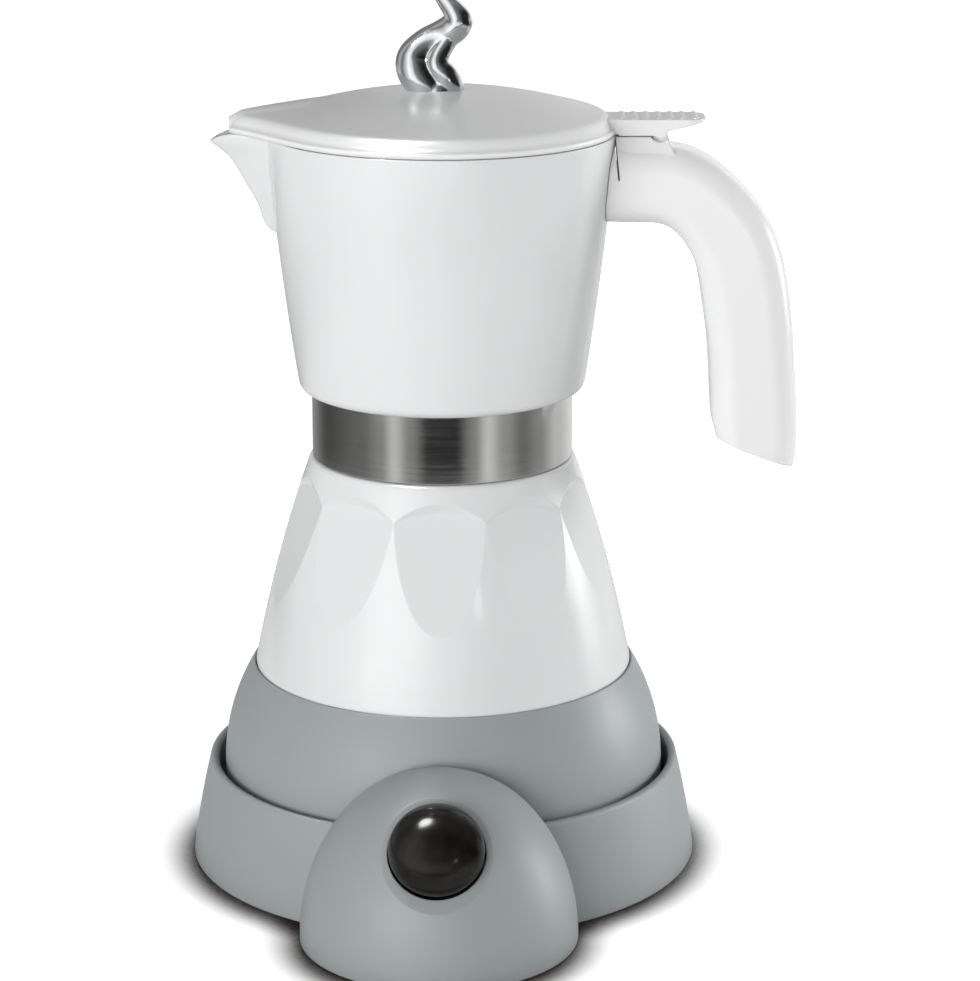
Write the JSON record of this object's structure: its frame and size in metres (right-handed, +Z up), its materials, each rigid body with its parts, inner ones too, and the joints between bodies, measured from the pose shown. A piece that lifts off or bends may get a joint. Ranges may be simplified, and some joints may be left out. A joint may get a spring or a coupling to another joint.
{
  "type": "electric moka pot",
  "caption": "Cordless electric moka pot: white faceted boiler and tapered jug with side handle, hinged lid with twisted knob, on a grey power base with a round lit button.",
  "frame": {"origin": "on the pot's axis, on the surface that the base stands on", "axes": "+Z up, +X towards the handle, -Y towards the button"},
  "size_m": [0.166, 0.1735, 0.2437],
  "materials": {
    "white_enamel": "gloss white enamel",
    "white_plastic": "gloss",
    "grey_plastic": "satin",
    "dark_plastic": "matt",
    "smoked_lens": "gloss",
    "lamp_lens": "clear",
    "chrome": "polished",
    "polished_steel": "polished",
    "aluminium": "satin",
    "brass": "satin",
    "rubber": "matt",
    "silicone": "matt"
  },
  "bodies": {
    "power_base": {"power_base_shell": "grey_plastic", "base_bottom_cover": "grey_plastic", "rubber_feet": "rubber", "base_screws": "polished_steel", "cord_inlet": "dark_plastic", "base_connector": "dark_plastic", "base_contacts": "brass", "switch_body": "dark_plastic", "switch_holder": "dark_plastic", "indicator_lamp": "lamp_lens"},
    "button": {"power_button": "smoked_lens", "button_plunger": "dark_plastic", "button_spring": "polished_steel"},
    "connector": {"pot_connector": "dark_plastic", "pot_contacts": "brass"},
    "pot": {"boiler": "white_enamel", "heater_collar": "grey_plastic", "heating_element": "polished_steel", "heater_plate": "aluminium", "thermostat": "polished_steel", "collar_screws": "polished_steel", "safety_valve_body": "brass", "safety_valve_spring": "polished_steel"},
    "valve": {"safety_valve_pin": "brass"},
    "funnel": {"funnel_basket": "aluminium"},
    "seal": {"gasket": "silicone", "filter_plate": "aluminium"},
    "jug": {"jug": "white_enamel", "steel_band": "polished_steel", "coffee_column": "aluminium", "handle": "white_plastic", "handle_screw": "polished_steel", "lid_hinge_pin": "polished_steel"},
    "lid": {"lid": "white_plastic", "lid_knob": "chrome", "knob_screw": "polished_steel"}
  },
  "joints": [
    {"name": "pot_lift", "type": "slide", "parent": "power_base", "child": "connector", "axis": [0, 0, 1], "range_m": [0, 0.06]},
    {"name": "pot_turn", "type": "hinge", "parent": "connector", "child": "pot", "pos_m": [0, 0, 0.0165], "axis": [0, 0, 1], "continuous": true},
    {"name": "funnel_lift", "type": "slide", "parent": "pot", "child": "funnel", "axis": [0, 0, 1], "range_m": [0, 0.075]},
    {"name": "jug_lift", "type": "slide", "parent": "funnel", "child": "seal", "axis": [0, 0, 1], "range_m": [0, 0.08]},
    {"name": "jug_unscrew", "type": "hinge", "parent": "seal", "child": "jug", "pos_m": [0, 0, 0.1225], "axis": [0, 0, 1], "range_deg": [0, 540]},
    {"name": "lid_hinge", "type": "hinge", "parent": "jug", "child": "lid", "pos_m": [0.058, 0, 0.2021], "axis": [0, 1, 0], "range_deg": [0, 40]},
    {"name": "button_press", "type": "slide", "parent": "power_base", "child": "button", "axis": [0, 0.7431, -0.6691], "range_m": [0, 0.002], "stiffness_N_per_m": 600, "springref_m": -0.001},
    {"name": "valve_pin", "type": "slide", "parent": "pot", "child": "valve", "axis": [0, 0.9426, 0.3338], "range_m": [0, 0.001], "stiffness_N_per_m": 2000, "springref_m": -0.0005}
  ]
}
